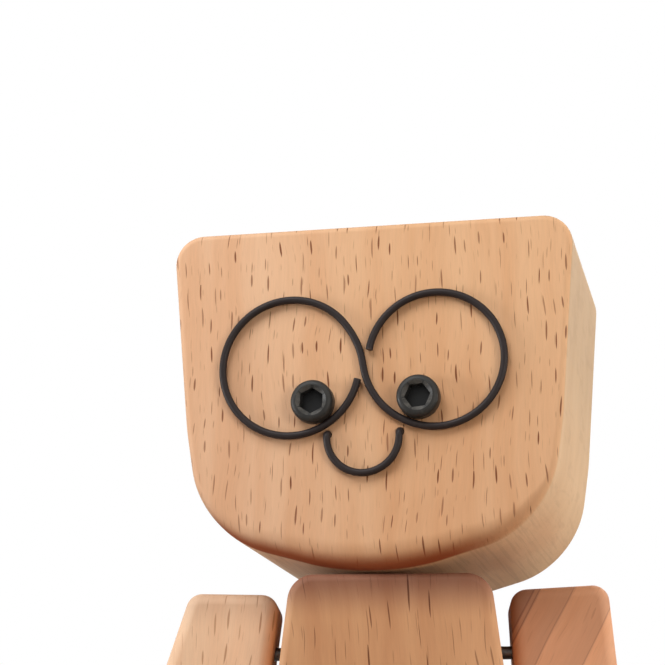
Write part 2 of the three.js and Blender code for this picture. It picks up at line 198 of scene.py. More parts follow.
def gradeRim(piece, y, low, high, radii, steps):  # rounds a flat face's edges, more below than above
    only(piece)
    weights = piece.data.attributes.new("bevel_weight_edge", "FLOAT", "EDGE")
    places = piece.data.vertices
    for edge in piece.data.edges:
        ends = [places[i].co for i in edge.vertices]
        if all(abs(end.y - y * mm) < near for end in ends):
            height = (ends[0].z + ends[1].z) / 2 / mm
            share = min(max((height - low) / (high - low), 0), 1)
            share = share * share * (3 - 2 * share)
            weights.data[edge.index].value = (radii[0] + (radii[1] - radii[0]) * share) / max(radii)
    rounding = piece.modifiers.new("rim", "BEVEL")
    rounding.limit_method = "WEIGHT"
    rounding.offset_type = "OFFSET"
    rounding.width = max(radii) * mm
    rounding.segments = steps
    rounding.profile = 0.5
    rounding.use_clamp_overlap = False
    bpy.ops.object.modifier_apply(modifier=rounding.name)
    piece.data.attributes.remove(piece.data.attributes["bevel_weight_edge"])


def carve(piece, tool):  # takes the tool's space out of the piece
    only(piece)
    cutter = piece.modifiers.new("cut", "BOOLEAN")
    cutter.operation = "DIFFERENCE"
    cutter.solver = "EXACT"
    cutter.object = tool
    bpy.ops.object.modifier_apply(modifier=cutter.name)
    bpy.data.objects.remove(tool)


def drill(piece, start, end, diameter, sides=48):
    carve(piece, addRound("drillBit", diameter / 2, start, end, sides))


def isBroad(face):  # it has more corners than the faces of a rounding
    return len(face.verts) > 4


def pickEnd(piece, axis, way):  # the round flat face at one end
    pick(piece, "FACE", lambda f: isBroad(f) and f.normal["xyz".index(axis)] * way > squareOn)


def smooth(piece, angle):  # smooth shading that keeps flats flat and edges crisp
    only(piece)
    bpy.ops.object.shade_smooth_by_angle(angle=math.radians(angle))
    even = piece.modifiers.new("even", "WEIGHTED_NORMAL")
    even.keep_sharp = True
    even.weight = 100
    bpy.ops.object.modifier_apply(modifier=even.name)


def markSurface(piece, flat, bent):  # roundedEdge is 1 on rounded edges, facing tells flats from sides
    only(piece)
    mesh = bmesh.new()
    mesh.from_mesh(piece.data)
    bends = [0.0] * len(mesh.verts)
    for edge in mesh.edges:
        turn = math.degrees(edge.calc_face_angle(0))
        for v in edge.verts:
            bends[v.index] = max(bends[v.index], min(turn, bent))
    wear = []
    for face in mesh.faces:
        broad = isBroad(face)
        wear += [0 if broad else max(0, (bends[v.index] - flat) / (bent - flat)) for v in face.verts]
    mesh.free()
    normals = [0.0] * (3 * len(wear))
    piece.data.corner_normals.foreach_get("vector", normals)
    piece.data.attributes.new("roundedEdge", "FLOAT", "CORNER").data.foreach_set("value", wear)
    facing = piece.data.attributes.new("facing", "FLOAT_VECTOR", "CORNER")
    facing.data.foreach_set("vector", [abs(n) for n in normals])


def markRecess(piece, test):  # recess is 1 on the faces of a hollow
    marks = [float(test(face.center)) for face in piece.data.polygons for _ in face.vertices]
    piece.data.attributes.new("recess", "FLOAT", "CORNER").data.foreach_set("value", marks)


def dress(piece, material, body, slotName, *nodes):
    nothing()
    piece.data.materials.clear()
    piece.data.materials.append(material)
    if body:
        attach(piece, body)
    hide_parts(*nodes)


# Smooths, marks and dresses a modelled piece. The head's pieces are also turned to their rest here.
def complete(piece, material, body, slotName, node, angle=32, flat=6.5, bent=12, turn=0):
    smooth(piece, angle)
    markSurface(piece, flat, bent)
    if turn:
        turnTo(piece, "z", turn)
    dress(piece, material, body, slotName, node)


# Node helpers

def give(tree, node, values):  # sets or links a node's inputs
    for key, value in values.items():
        if isinstance(value, bpy.types.NodeSocket):
            tree.links.new(value, node.inputs[key])
        else:
            node.inputs[key].default_value = value


def put(tree, kind, values=None, **settings):
    made = tree.nodes.new(kind)
    for key, value in settings.items():
        setattr(made, key, value)
    give(tree, made, values or {})
    return made


def maths(tree, operation, a, b=0.0, clamp=False):
    return put(tree, "ShaderNodeMath", {0: a, 1: b}, operation=operation, use_clamp=clamp).outputs[0]


def product(tree, first, *others):
    for other in others:
        first = maths(tree, "MULTIPLY", first, other)
    return first


def vectors(tree, operation, a, b):
    return put(tree, "ShaderNodeVectorMath", {0: a, 1: b}, operation=operation).outputs[0]


def scaled(tree, vector, factor):  # a colour made brighter or darker, or a place spread out
    return put(tree, "ShaderNodeVectorMath", {0: vector, "Scale": factor}, operation="SCALE").outputs[0]


def axesOf(tree, vector):
    return put(tree, "ShaderNodeSeparateXYZ", {0: vector}).outputs


def ease(tree, value, low, high, toLow=0.0, toHigh=1.0):  # a soft step from one value to another
    values = {"Value": value, "From Min": low, "From Max": high, "To Min": toLow, "To Max": toHigh}
    return put(tree, "ShaderNodeMapRange", values, interpolation_type="SMOOTHSTEP").outputs["Result"]


def mixed(tree, amount, a, b, way="MIX"):
    made = put(tree, "ShaderNodeMix", {0: amount, 6: a, 7: b}, data_type="RGBA", blend_type=way)
    return made.outputs[2]


def noise(tree, place, stretch, detail=2.0, roughness=0.5):
    spread = vectors(tree, "MULTIPLY", place, stretch)
    values = {"Vector": spread, "Scale": 1.0, "Detail": detail, "Roughness": roughness}
    return put(tree, "ShaderNodeTexNoise", values).outputs


def mark(tree, name):  # an attribute that the mesh carries
    return put(tree, "ShaderNodeAttribute", attribute_name=name).outputs


def newGroup(name, inputs, outputs):
    tree = bpy.data.node_groups.new(name, "ShaderNodeTree")
    for label, kind in inputs.items():
        tree.interface.new_socket(label, in_out="INPUT", socket_type="NodeSocket" + kind)
    for label, kind in outputs.items():
        tree.interface.new_socket(label, in_out="OUTPUT", socket_type="NodeSocket" + kind)
    return tree, tree.nodes.new("NodeGroupInput").outputs, tree.nodes.new("NodeGroupOutput")


def newMaterial(name):
    material = bpy.data.materials.new(name)
    material.use_nodes = True
    tree = material.node_tree
    return material, tree, tree.nodes["Principled BSDF"]


def objectPlace(tree, turn=(0, 0, 0), shift=(0, 0, 0)):  # the place on the piece in millimetres
    place = tree.nodes.new("ShaderNodeTexCoord").outputs["Object"]
    angles = tuple(math.radians(a) for a in turn)
    values = {"Vector": place, "Location": shift, "Rotation": angles, "Scale": (1 / mm,) * 3}
    return put(tree, "ShaderNodeMapping", values).outputs["Vector"]


def setSurface(tree, shader, look, tint, rough, height):
    values = {"Height": height, "Strength": look["bump"], "Distance": look["bumpDepth"] * mm}
    bump = put(tree, "ShaderNodeBump", values).outputs["Normal"]
    give(tree, shader, {
        "Base Color": tint, "Roughness": rough, "Normal": bump, "Specular IOR Level": look["specular"]})


# Wood: Z runs along the grain, and the rays run along Y, so their ends show as dark dashes on front and back

dashLook = {
    "randomness": 0.9, "lengths": (0.55, 1.0), "widths": (0.6, 1.3), "taper": 2.6,
    "strengths": (0.1, 0.9, 0.6, 1.0),
    "long": {"cell": (1.75, 4.1), "tall": 1.5, "wide": 0.118, "soft": 0.08},
    "short": {"cell": (1.2, 2.9), "tall": 1.0, "wide": 0.075, "soft": 0.09},
    "shortShift": (31.0, 7.0, 3.0), "shortShare": 0.5,
}
grainNoise = {  # how each pattern is stretched across X, Y and Z
    "wander": {"stretch": (0.1, 0.05, 0.1), "detail": 1.0},
    "streaks": {"stretch": (0.32, 0.16, 0.03), "detail": 3.0, "roughness": 0.55},
    "clouds": {"stretch": (0.06, 0.06, 0.045), "detail": 1.0},
    "fibres": {"stretch": (5.5, 1.5, 0.35), "roughness": 0.6},
    "flecks": {"stretch": (1.6, 0.13, 0.45), "roughness": 0.6},
    "rays": {"stretch": (2.6, 0.06, 2.6), "detail": 1.0},
    "pores": {"stretch": (6.0, 6.0, 6.0)},
}
grainLook = {
    "wander": (2.2, 0, 1.5), "streaks": 0.6, "clouds": 0.4, "tone": (0.34, 0.66),
    "fibreTint": (0.2, 0.8, 0.965, 1.035), "fibreRough": (0.2, 0.8, 0.64, 0.74), "fibreLift": 0.35,
    "flecks": (0.5, 0.68, 0.0, 0.11), "rays": (0.52, 0.64, 0.0, 0.14), "pores": (0.55, 0.7, 0.0, 0.14),
    "rubbed": 0.12, "dashRough": 0.12, "edgeSmooth": 0.08,
}
bandLook = {
    "line": (0.05, 0.16), "lineShare": 0.25, "lineDepth": 0.6, "warp": (0.1, 0.1, 0.05), "wander": 1.6,
}
woodLook = {
    "specular": 0.26, "bump": 0.5, "bumpDepth": 0.04,
    "flat": (0.25, 0.75), "side": (0.4, 0.9), "end": (0.4, 0.9),
}
# Where painted light makes the sides and underside paler
paleSides = {"across": (0.3, 0.95), "under": (0.2, 0.9), "front": (0.6, 0.1)}
# Where painted shade darkens the chin's rounded lower edge
chinShade = {"gain": 2.0, "under": (0.35, 0.85), "front": (0.05, 0.3)}


def makeDashes(tree, place, size):  # pointed ray ends, each with its own size and strength
    look, cell = dashLook, size["cell"]
    axes = axesOf(tree, place)
    flat = put(tree, "ShaderNodeCombineXYZ", {0: axes[0], 1: axes[2]}).outputs[0]
    spread = vectors(tree, "DIVIDE", flat, cell + (1,))
    values = {"Vector": spread, "Scale": 1.0, "Randomness": look["randomness"]}
    cells = put(tree, "ShaderNodeTexVoronoi", values, voronoi_dimensions="2D").outputs
    away = vectors(tree, "MULTIPLY", vectors(tree, "SUBTRACT", spread, cells["Position"]), cell + (0,))
    away = axesOf(tree, vectors(tree, "ABSOLUTE", away, (0, 0, 0)))
    random = put(tree, "ShaderNodeSeparateColor", {0: cells["Color"]}).outputs
    reach = product(tree, ease(tree, random["Red"], 0.0, 1.0, *look["lengths"]), size["tall"])
    along = maths(tree, "DIVIDE", away[1], reach)
    pointed = maths(tree, "SUBTRACT", 1.0, maths(tree, "POWER", along, look["taper"]), clamp=True)
    half = product(tree, ease(tree, random["Green"], 0.0, 1.0, *look["widths"]), size["wide"])
    inside = maths(tree, "SUBTRACT", product(tree, half, pointed), away[0])
    strength = ease(tree, random["Blue"], *look["strengths"])
    return product(tree, ease(tree, inside, 0.0, size["soft"]), strength)


def makeGrainGroup(look):
    tree, given, out = newGroup(
        "beechGrain",
        {"Vector": "Vector", "Pale": "Color", "Deep": "Color", "Dash": "Color", "Dashes": "Float",
         "Dash Size": "Float", "Tone": "Float", "Edge": "Float", "Flat": "Float", "Side": "Float",
         "End": "Float"},
        {"Color": "Color", "Roughness": "Float", "Height": "Float"})
    place = given["Vector"]

    def pattern(name, where):
        return noise(tree, where, **grainNoise[name])

    wander = vectors(tree, "SUBTRACT", pattern("wander", place)["Color"], (0.5,) * 3)
    grain = vectors(tree, "ADD", place, vectors(tree, "MULTIPLY", wander, look["wander"]))
    sizes = put(tree, "ShaderNodeCombineXYZ", {0: 1.0, 1: 1.0, 2: given["Dash Size"]}).outputs[0]
    dashPlace = vectors(tree, "DIVIDE", grain, sizes)
    shortPlace = vectors(tree, "ADD", dashPlace, dashLook["shortShift"])
    long = makeDashes(tree, dashPlace, dashLook["long"])
    short = makeDashes(tree, shortPlace, dashLook["short"])
    marks = maths(tree, "MAXIMUM", long, product(tree, short, dashLook["shortShare"]))
    shown = product(tree, marks, given["Dashes"], given["Flat"])
    streaks = product(tree, pattern("streaks", grain)["Fac"], look["streaks"])
    clouds = product(tree, pattern("clouds", place)["Fac"], look["clouds"])
    fibres = pattern("fibres", grain)["Fac"]
    tone = ease(tree, maths(tree, "ADD", streaks, clouds), *look["tone"])
    wood = mixed(tree, product(tree, tone, given["Tone"]), given["Pale"], given["Deep"])
    wood = scaled(tree, wood, ease(tree, fibres, *look["fibreTint"]))
    wood = mixed(tree, shown, wood, given["Dash"])
    flecks = ease(tree, pattern("flecks", grain)["Fac"], *look["flecks"])  # rays seen along their length
    wood = mixed(tree, product(tree, flecks, given["Side"]), wood, given["Dash"])
    rays = ease(tree, pattern("rays", place)["Fac"], *look["rays"])
    pores = ease(tree, pattern("pores", place)["Fac"], *look["pores"])
    ends = product(tree, maths(tree, "ADD", rays, pores), given["End"])
    wood = mixed(tree, ends, wood, given["Dash"])
    # Paler on the rounded edges: partly rubbed wear, partly a painted highlight
    wood = mixed(tree, product(tree, given["Edge"], look["rubbed"]), wood, given["Pale"])
    rough = ease(tree, fibres, *look["fibreRough"])
    rough = maths(tree, "ADD", rough, product(tree, shown, look["dashRough"]))
    rough = maths(tree, "SUBTRACT", rough, product(tree, given["Edge"], look["edgeSmooth"]))
    lift = maths(tree, "SUBTRACT", product(tree, fibres, look["fibreLift"]), shown)
    give(tree, out, {"Color": wood, "Roughness": rough, "Height": lift})
    return tree


def makeBandGroup(look):  # one growth band: a thin dark line, then wood that darkens a little to the next
    tree, given, out = newGroup(
        "growthBand",
        {"Across": "Float", "Start": "Float", "Width": "Float", "First": "Float", "Last": "Float"},
        {"Shade": "Float", "Line": "Float"})
    away = maths(tree, "SUBTRACT", given["Across"], given["Start"])
    part = maths(tree, "DIVIDE", away, given["Width"])
    begun = maths(tree, "GREATER_THAN", part, 0.0)
    unfinished = maths(tree, "LESS_THAN", part, 1.0)
    shade = ease(tree, part, 0.0, 1.0, given["First"], given["Last"])
    line = ease(tree, maths(tree, "ABSOLUTE", away), *look["line"], 1.0, 0.0)
    give(tree, out, {"Shade": product(tree, shade, begun, unfinished), "Line": line})
    return tree


grainGroup = makeGrainGroup(grainLook)
bandGroup = makeBandGroup(bandLook)


def paintSideLight(tree, look, facing, plain, pale, deep):  # painted light: paler sides and underside, most of all low down
    height = plain[2]
    under = ease(tree, facing[2], *paleSides["under"])
    under = product(tree, under, ease(tree, height, *look["underHeights"]))
    share = maths(tree, "MAXIMUM", ease(tree, facing[0], *paleSides["across"]), under)
    share = product(tree, share, ease(tree, facing[1], *paleSides["front"]))
    low = ease(tree, height, *look["sideLift"])
    pale = mixed(tree, share, pale, scaled(tree, colour(*look["sidePale"])[:3], low))
    deep = mixed(tree, share, deep, scaled(tree, colour(*look["sideDeep"])[:3], low))
    return pale, deep


def addBands(tree, look, tint, height):  # growth bands that run slanting across the piece
    place = objectPlace(tree, look["bandTurn"])
    warp = maths(tree, "SUBTRACT", noise(tree, place, bandLook["warp"], 1.0)["Fac"], 0.5)
    across = maths(tree, "ADD", axesOf(tree, place)[0], product(tree, warp, bandLook["wander"]))
    shade, lines = 0.0, 0.0
    for start, width, first, last in look["bands"]:
        values = {"Across": across, "Start": start, "Width": width, "First": first, "Last": last}
        band = put(tree, "ShaderNodeGroup", values, node_tree=bandGroup).outputs
        shade = maths(tree, "ADD", shade, band["Shade"])
        lines = maths(tree, "MAXIMUM", lines, band["Line"])
    dark = maths(tree, "ADD", shade, product(tree, lines, bandLook["lineShare"]), clamp=True)
    tint = mixed(tree, dark, tint, colour(*look["bandDark"]))
    return tint, maths(tree, "SUBTRACT", height, product(tree, lines, bandLook["lineDepth"]))


def paintChinShade(tree, look, facing, plain, edge, tint):  # painted shade on the rounded edge below the chin, where it faces down
    shadedShare = product(
        tree, edge, chinShade["gain"], ease(tree, facing[2], *chinShade["under"]),
        ease(tree, facing[1], *chinShade["front"]), ease(tree, plain[0], *look["rimAcross"]),
        ease(tree, plain[2], *look["rimHeights"]))
    return mixed(tree, shadedShare, tint, colour(*look["rim"]))


def makeWood(name, look):
    material, tree, shader = newMaterial(name)
    place = objectPlace(tree, look.get("turn", (0, 0, 0)), look.get("shift", (0, 0, 0)))
    plain = axesOf(tree, objectPlace(tree))
    edge = mark(tree, "roundedEdge")["Fac"]
    facing = axesOf(tree, mark(tree, "facing")["Vector"])
    pale, deep = colour(*look["pale"]), colour(*look["deep"])
    # painted light on the sides and underside
    if "sidePale" in look:
        pale, deep = paintSideLight(tree, look, facing, plain, pale, deep)
    rays = look.get("rays", 1)  # the axis that the rays run along
    values = {
        "Vector": place, "Pale": pale, "Deep": deep, "Dash": colour(*look["dash"]), "Dashes": look["dashes"],
        "Dash Size": look["dashSize"], "Tone": look["tone"], "Edge": edge,
        "Flat": ease(tree, facing[rays], *woodLook["flat"]), "Side": ease(tree, facing[0], *woodLook["side"]),
        "End": ease(tree, facing[3 - rays], *woodLook["end"])}
    grain = put(tree, "ShaderNodeGroup", values, node_tree=grainGroup).outputs
    tint, height = grain["Color"], grain["Height"]
    if "bands" in look:
        tint, height = addBands(tree, look, tint, height)
    # painted shade on the chin's rounded lower edge
    if "rim" in look:
        tint = paintChinShade(tree, look, facing, plain, edge, tint)
    for axis, start, end, shadingTint in look.get("paintedLightAndShade", ()):  # painted light and shade across or up the piece
        share = ease(tree, plain[axis], start, end)
        tint = mixed(tree, share, tint, shadingTint + (1,), "MULTIPLY")
    setSurface(tree, shader, woodLook, tint, grain["Roughness"], height)
    return material


# Metal: a mottled finish that is rubbed a little on its edges

oxideLook = {
    "coarse": {"stretch": (1, 1, 1), "detail": 3.0, "roughness": 0.6}, "fine": {"stretch": (7, 7, 7)},
    "worn": (0.35, 0.7, 0.15, 0.9), "spots": (0.56, 0.8, 0.0, 0.35), "rough": (0.25, 0.75, 0.36, 0.52),
}


def makeOxideGroup(look):
    tree, given, out = newGroup(
        "oxide",
        {"Vector": "Vector", "Dark": "Color", "Rubbed": "Color", "Scale": "Float", "Edge": "Float"},
        {"Color": "Color", "Roughness": "Float", "Height": "Float"})
    place = scaled(tree, given["Vector"], given["Scale"])
    coarse = noise(tree, place, **look["coarse"])["Fac"]
    worn = product(tree, given["Edge"], ease(tree, coarse, *look["worn"]))
    spots = maths(tree, "MAXIMUM", ease(tree, coarse, *look["spots"]), worn)
    tint = mixed(tree, spots, given["Dark"], given["Rubbed"])
    rough, height = ease(tree, coarse, *look["rough"]), noise(tree, place, **look["fine"])["Fac"]
    give(tree, out, {"Color": tint, "Roughness": rough, "Height": height})
    return tree


oxideGroup = makeOxideGroup(oxideLook)


def makeMetal(name, look):
    material, tree, shader = newMaterial(name)
    values = {
        "Vector": objectPlace(tree), "Edge": mark(tree, "roundedEdge")["Fac"], "Dark": colour(*look["dark"]),
        "Rubbed": colour(*look["rubbed"]), "Scale": look["scale"]}
    oxide = put(tree, "ShaderNodeGroup", values, node_tree=oxideGroup).outputs
    tint = oxide["Color"]
    if "inside" in look:  # painted shade: darker in the socket
        tint = scaled(tree, tint, ease(tree, mark(tree, "recess")["Fac"], 0.0, 1.0, 1.0, look["inside"]))
    setSurface(tree, shader, look, tint, oxide["Roughness"], oxide["Height"])
    give(tree, shader, {"Metallic": look["metallic"]})
    return material


fibreLook = {
    "cloud": {"stretch": (0.5, 0.5, 0.5), "detail": 3.0}, "cells": (0.1, 0.6), "shade": (0.2, 0.8, 0.6, 1.0),
    "rough": (0.2, 0.8, 0.82, 0.95),
}


def makeFibre(name, look):  # pressed fibre, and the foam with its open cells
    material, tree, shader = newMaterial(name)
    place = objectPlace(tree)
    values = {"Vector": place, "Scale": look["cells"], "Randomness": 1.0}
    cells = put(tree, "ShaderNodeTexVoronoi", values).outputs["Distance"]
    cloud = noise(tree, place, **fibreLook["cloud"])["Fac"]
    shade = product(tree, ease(tree, cells, *fibreLook["cells"]), ease(tree, cloud, *fibreLook["shade"]))
    tint = mixed(tree, shade, colour(*look["dark"]), colour(*look["light"]))
    setSurface(tree, shader, look, tint, ease(tree, cloud, *fibreLook["rough"]), cells)
    return material


# Painted light and shade: each entry gives its axis, where it starts and is full, and what it multiplies the
# colour by
faceWood = {
    "pale": (233, 185, 141), "deep": (222, 167, 121), "dash": (128, 74, 44), "dashes": 1.0, "dashSize": 1.0,
    "tone": 0.85, "turn": (0, 0, 9), "shift": (3.1, 2.0, 7.7),
    # Painted light: paler sides and underside, lighter low down
    "sidePale": (201, 170, 134), "sideDeep": (192, 159, 123), "sideLift": (78, 52, 1.0, 1.4),
    # The rim colour, with its heights and span, is painted shade on the chin's rounded lower edge
    "underHeights": (66, 56), "rim": (158, 84, 48), "rimHeights": (58, 52), "rimAcross": (17, 5),
    # Painted light: the viewer's left of the face paler and cooler. Painted shade: darker towards the chin.
    "paintedLightAndShade": ((0, 4, -22, (1.06, 1.12, 1.26)), (2, 82, 50, (0.92, 0.9, 0.9))),
}
torsoWood = {
    "pale": (208, 157, 114), "deep": (191, 136, 95), "dash": (108, 62, 38), "dashes": 0.95, "dashSize": 1.9,
    "tone": 1.0, "turn": (0, 5, 0), "shift": (11.4, 5.0, 2.2),
    # Painted shadow of the head across the top, and painted highlights that make both side edges paler.
    "paintedLightAndShade": (
        (2, 40, 45.5, (0.45, 0.37, 0.44)), (0, 6, 11.5, (1.12, 1.16, 1.2)),
        (0, -6, -11.5, (1.06, 1.1, 1.14))),
}
leftArmWood = {
    "pale": (242, 205, 170), "deep": (234, 190, 153), "dash": (164, 112, 78), "dashes": 0.7, "dashSize": 1.1,
    "tone": 1.0, "turn": (0, -4, 0), "shift": (6.0, 1.4, 9.0),
    # Painted shade under the head: darker towards the top.
    "paintedLightAndShade": ((2, 39.5, 44, (0.83, 0.82, 0.84)),),
}
rightArmWood = {
    "pale": (242, 181, 141), "deep": (232, 166, 123), "dash": (150, 92, 58), "dashes": 0.25, "dashSize": 1.2,
    "tone": 0.9, "turn": (0, -27, 0), "shift": (1.0, 3.3, 5.5),
    # The growth bands and lines are the wood's own; their shades darken towards the torso as painted shade
    # under the head.
    "bandTurn": (0, -27, 0), "bandDark": (138, 94, 74), "bands": (  # start, width, first and last shade
        (-12.5, 5, 0.8, 0.9), (-7.5, 2.8, 0.75, 0.85), (-4.7, 0.6, 0.6, 0.7), (-4.1, 3.4, 0.38, 0.44),
        (-0.7, 5.1, 0.15, 0.32), (4.4, 4.6, 0.0, 0.15), (9.0, 6, 0.1, 0.3), (15.0, 5, 0.0, 0.25),
        (20.0, 6, 0.1, 0.3)),
}
legWood = {
    "pale": (232, 184, 140), "deep": (216, 160, 114), "dash": (146, 90, 54), "dashes": 0.75, "dashSize": 1.2,
    "tone": 1.0, "turn": (90, 0, 0), "shift": (2.0, 8.0, 4.0), "rays": 2,
}
footWood = {
    "pale": (234, 186, 142), "deep": (220, 164, 118), "dash": (148, 92, 56), "dashes": 0.8, "dashSize": 1.0,
    "tone": 1.0, "shift": (8.0, 0.7, 3.0),
}
dowelWood = {
    "pale": (236, 212, 176), "deep": (222, 192, 150), "dash": (180, 140, 100), "dashes": 0.3, "dashSize": 1.0,
    "tone": 1.0, "turn": (90, 0, 0), "shift": (1.0, 2.0, 3.0),
}
wireMetal = {
    "dark": (43, 36, 35), "rubbed": (72, 63, 60), "scale": 0.9, "bump": 0.25, "bumpDepth": 0.02,
    "metallic": 0.0, "specular": 0.16,
}
screwMetal = {
    "dark": (39, 38, 36), "rubbed": (84, 81, 76), "scale": 1.3, "bump": 0.3, "bumpDepth": 0.02,
    # inside: how dark the painted shade in the socket makes the screw
    "metallic": 0.0, "specular": 0.22, "inside": 0.15,
}
nailMetal = {
    "dark": (84, 80, 77), "rubbed": (132, 128, 124), "scale": 1.0, "bump": 0.2, "bumpDepth": 0.02,
    "metallic": 1.0, "specular": 0.5,
}
springMetal = {
    "dark": (196, 193, 187), "rubbed": (222, 220, 215), "scale": 0.8, "bump": 0.1, "bumpDepth": 0.02,
    "metallic": 1.0, "specular": 0.5,
}
washerFibre = {
    "dark": (52, 42, 36), "light": (86, 72, 62), "cells": 5.0, "bump": 0.6, "bumpDepth": 0.05,
    "specular": 0.25,
}
padFoam = {
    "dark": (30, 30, 32), "light": (66, 66, 69), "cells": 3.2, "bump": 0.6, "bumpDepth": 0.12,
    "specular": 0.25,
}

materials = {
    "head": makeWood("faceBeech", faceWood),
    "torso": makeWood("torsoBeech", torsoWood),
    "left_arm": makeWood("leftArmBeech", leftArmWood),
    "right_arm": makeWood("rightArmBeech", rightArmWood),
    "leg": makeWood("legBeech", legWood),
    "foot": makeWood("footBeech", footWood),
    "dowel": makeWood("dowelBirch", dowelWood),
    "wire": makeMetal("annealedWire", wireMetal),
    "screw": makeMetal("blackScrew", screwMetal),
    "nail": makeMetal("darkNail", nailMetal),
    "spring": makeMetal("springSteel", springMetal),
    "washer": makeFibre("pressedFibre", washerFibre),
    "pad": makeFibre("darkFoam", padFoam),
}
print("materials made:", len(materials))


# Head

headShape = {
    "width": 50, "height": 42.3, "face": -13, "back": 22.5, "chin": 46.1, "taper": 4.6, "jawTaper": 8.5,
    "cheekDrop": 24.7, "jawRise": 4.7, "chinWidth": 9, "crownCorner": 3.6, "cheekCorner": 40,
    "jawCorner": 12.7, "chinCorner": 30, "faceEdge": 0.8, "faceEdgeFrom": 11, "chinEdge": 3.8,
    "chinEdgeTo": -4, "backEdge": 1.4, "turn": -9,
}
headHoles = {
    "neck": 4.2, "neckDepth": 14.3, "screw": 3.2, "screwDepth": 12.2, "nose": 1.1, "noseDepth": 3.3,
}


def makeHead(h):
    half, crown = h["width"] / 2, h["chin"] + h["height"]
    cheek, jaw = crown - h["cheekDrop"], h["chin"] + h["jawRise"]
    cheekHalf = half - h["cheekDrop"] * math.tan(math.radians(h["taper"]))
    jawHalf = cheekHalf - (cheek - jaw) * math.tan(math.radians(h["jawTaper"]))
    head = addBlock("head", (-half, h["face"], h["chin"]), (half, h["back"], crown))
    cutAcross(head, cheek)
    cutAcross(head, jaw)
    for level, reach in ((cheek, cheekHalf), (jaw, jawHalf), (h["chin"], h["chinWidth"] / 2)):
        widen(head, level, reach / half)
    joinFlats(head)
    for side in (-1, 1):
        roundCorner(head, side * h["chinWidth"] / 2, h["chin"], h["chinCorner"], steps=10)
        roundCorner(head, side * jawHalf, jaw, h["jawCorner"], steps=20)
        roundCorner(head, side * cheekHalf, cheek, h["cheekCorner"], steps=6)
        roundCorner(head, side * half, crown, h["crownCorner"], steps=14)
    low, high = h["chin"] + h["chinEdgeTo"], h["chin"] + h["faceEdgeFrom"]
    gradeRim(head, h["face"], low, high, (h["chinEdge"], h["faceEdge"]), steps=10)
    roundRim(head, h["back"], h["backEdge"], steps=8)
    return head


def drillHead(head):  # holes for the neck pin, the screws and the nose wire
    chin, face = headShape["chin"], headShape["face"]
    drill(head, (0, 0, chin - runIn), (0, 0, chin + headHoles["neckDepth"]), headHoles["neck"])
    for pupil in pupils.values():
        x, z = pupil["x"], pupil["z"]
        deep = face + headHoles["screwDepth"]
        drill(head, (x, face - runIn, z), (x, deep, z), headHoles["screw"], sides=32)
    z = noseShape["z"] + noseShape["bend"]
    for side in (-1, 1):
        x = noseShape["x"] + side * noseShape["radius"]
        deep = face + headHoles["noseDepth"]
        drill(head, (x, face - runIn, z), (x, deep, z), headHoles["nose"], sides=24)


# Face wire and pupils

crownHeight = headShape["chin"] + headShape["height"]
eyeShape = {
    "wire": 0.9, "offFace": 0.55, "steps": 72, "uncurl": 1.5, "rings": {
        "left": {"x": -9.8, "z": crownHeight - 17.65, "radius": 8.45, "sweep": 347.5, "opening": 35},
        "right": {"x": 8.0, "z": crownHeight - 17.45, "radius": 8.25, "sweep": 349.4, "opening": 70},
    },
}
noseShape = {
    "x": -0.95, "z": crownHeight - 26.55, "radius": 4.4, "bend": 0.5, "inHead": 3.0,
    "steps": 24, "bendSteps": 4,
}
wireFinish = {"roundness": 8, "endRounding": 0.12, "endSteps": 3}  # the rounding is a share of the thickness
pupils = {"left": {"angle": -58, "socketTurn": 4}, "right": {"angle": -114.3, "socketTurn": 24}}
screwShape = {
    "headDiameter": 5.2, "headHeight": 2.0, "offFace": 0.1, "offRing": 0.1, "rim": 0.7, "backRim": 0.15,
    "shank": 3.0, "length": 12, "tip": 0.4, "socket": 2.75, "socketDepth": 1.6, "mouth": 3.75,
    "leadEnd": 0.94, "leadSlope": 0.62, "recessFrom": 0.35, "recessReach": 0.6,
}
for sideName, pupil in pupils.items():  # each screw's head just clears its ring
    ring = eyeShape["rings"][sideName]
    reach = ring["radius"] - (eyeShape["wire"] + screwShape["headDiameter"]) / 2 - screwShape["offRing"]
    pupil["x"] = ring["x"] + reach * math.cos(math.radians(pupil["angle"]))
    pupil["z"] = ring["z"] + reach * math.sin(math.radians(pupil["angle"]))


def bentWire(name, points, diameter, fineness):  # a round wire bent smoothly through points
    nothing()
    bpy.ops.curve.primitive_bezier_curve_add()
    piece = bpy.context.object
    piece.name = name
    curve = piece.data
    curve.dimensions = "3D"
    bends = curve.splines[0].bezier_points
    bends.add(len(points) - len(bends))
    for bend, place in zip(bends, points):
        bend.co = point(*place)
        bend.handle_left_type = bend.handle_right_type = "AUTO"
    curve.resolution_u = fineness
    curve.bevel_depth = diameter / 2 * mm
    curve.bevel_resolution = wireFinish["roundness"]
    curve.use_fill_caps = True
    only(piece)
    bpy.ops.object.convert(target="MESH")
    piece = newPiece(name)
    pick(piece, "VERT", lambda v: True)
    bpy.ops.mesh.remove_doubles(threshold=weld)
    bpy.ops.mesh.normals_make_consistent(inside=False)
    pick(piece, "EDGE", lambda e: any(isBroad(f) for f in e.link_faces))
    bevelPicked(wireFinish["endRounding"] * diameter, wireFinish["endSteps"])
    return piece


def makeEyeWire(e):  # from the left free end round to the bar, then round the right ring
    y = headShape["face"] - e["offFace"]
    midway = (e["rings"]["right"]["x"] - e["rings"]["left"]["x"]) / 2
    paths = {}
    for sideName, ring in e["rings"].items():
        path = []
        for i in range(e["steps"] + 1):
            turn = ring["sweep"] * i / e["steps"]
            opening = max(0, 1 - turn / ring["opening"]) ** e["uncurl"]
            radius = ring["radius"] + (midway - ring["radius"]) * opening
            x = ring["x"] - sideOf[sideName] * radius * math.cos(math.radians(turn))
            path.append((x, y, ring["z"] - sideOf[sideName] * radius * math.sin(math.radians(turn))))
        paths[sideName] = path
    return bentWire("eyeWire", paths["left"][::-1] + paths["right"][1:], e["wire"], fineness=3)


